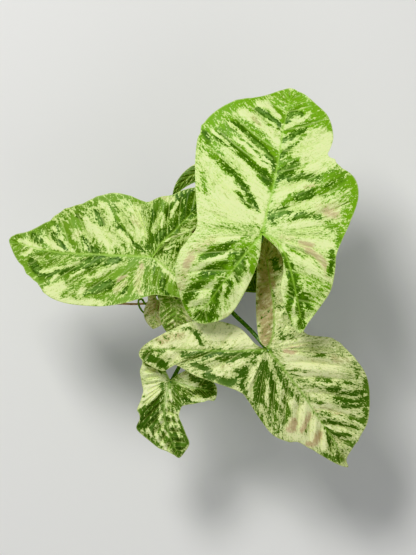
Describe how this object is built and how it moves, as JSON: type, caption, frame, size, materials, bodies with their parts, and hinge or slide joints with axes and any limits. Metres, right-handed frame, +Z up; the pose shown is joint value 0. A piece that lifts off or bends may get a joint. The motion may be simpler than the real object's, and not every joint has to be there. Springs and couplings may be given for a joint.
{
  "type": "arrowhead plant",
  "caption": "Potted arrowhead plant with cream-marbled arrow-shaped leaves on slender stalks, standing in a round nursery pot.",
  "frame": {"origin": "middle of the pot's flat underside, on the surface that it stands on", "axes": "+Z up along the pot's axis, +X to the right and +Y to the top of the plant as seen from straight above"},
  "size_m": [0.297, 0.3111, 0.218],
  "materials": {
    "marbled_leaf": "satin leaf skin, green marbled with cream",
    "young_leaf": "satin leaf skin, thinner and darker in the shade",
    "petiole_green": "smooth satin stalk",
    "stem_green": "ringed green stem",
    "root_tan": "dry, matt",
    "pot_plastic": "moulded black polypropylene",
    "potting_mix": "bark and peat crumb"
  },
  "bodies": {
    "root": {"pot": "pot_plastic", "potting_mix": "potting_mix", "stem": "stem_green", "blade_crown": "marbled_leaf", "blade_left": "marbled_leaf", "blade_front": "marbled_leaf", "blade_low": "marbled_leaf", "blade_rear": "young_leaf", "blade_inner": "young_leaf", "blade_pale": "young_leaf", "blade_mottled": "young_leaf", "petiole_crown": "petiole_green", "petiole_left": "petiole_green", "petiole_front": "petiole_green", "petiole_low": "petiole_green", "petiole_rear": "petiole_green", "petiole_inner": "petiole_green", "petiole_pale": "petiole_green", "petiole_mottled": "petiole_green", "root_long": "root_tan", "root_curled": "root_tan"}
  },
  "joints": []
}
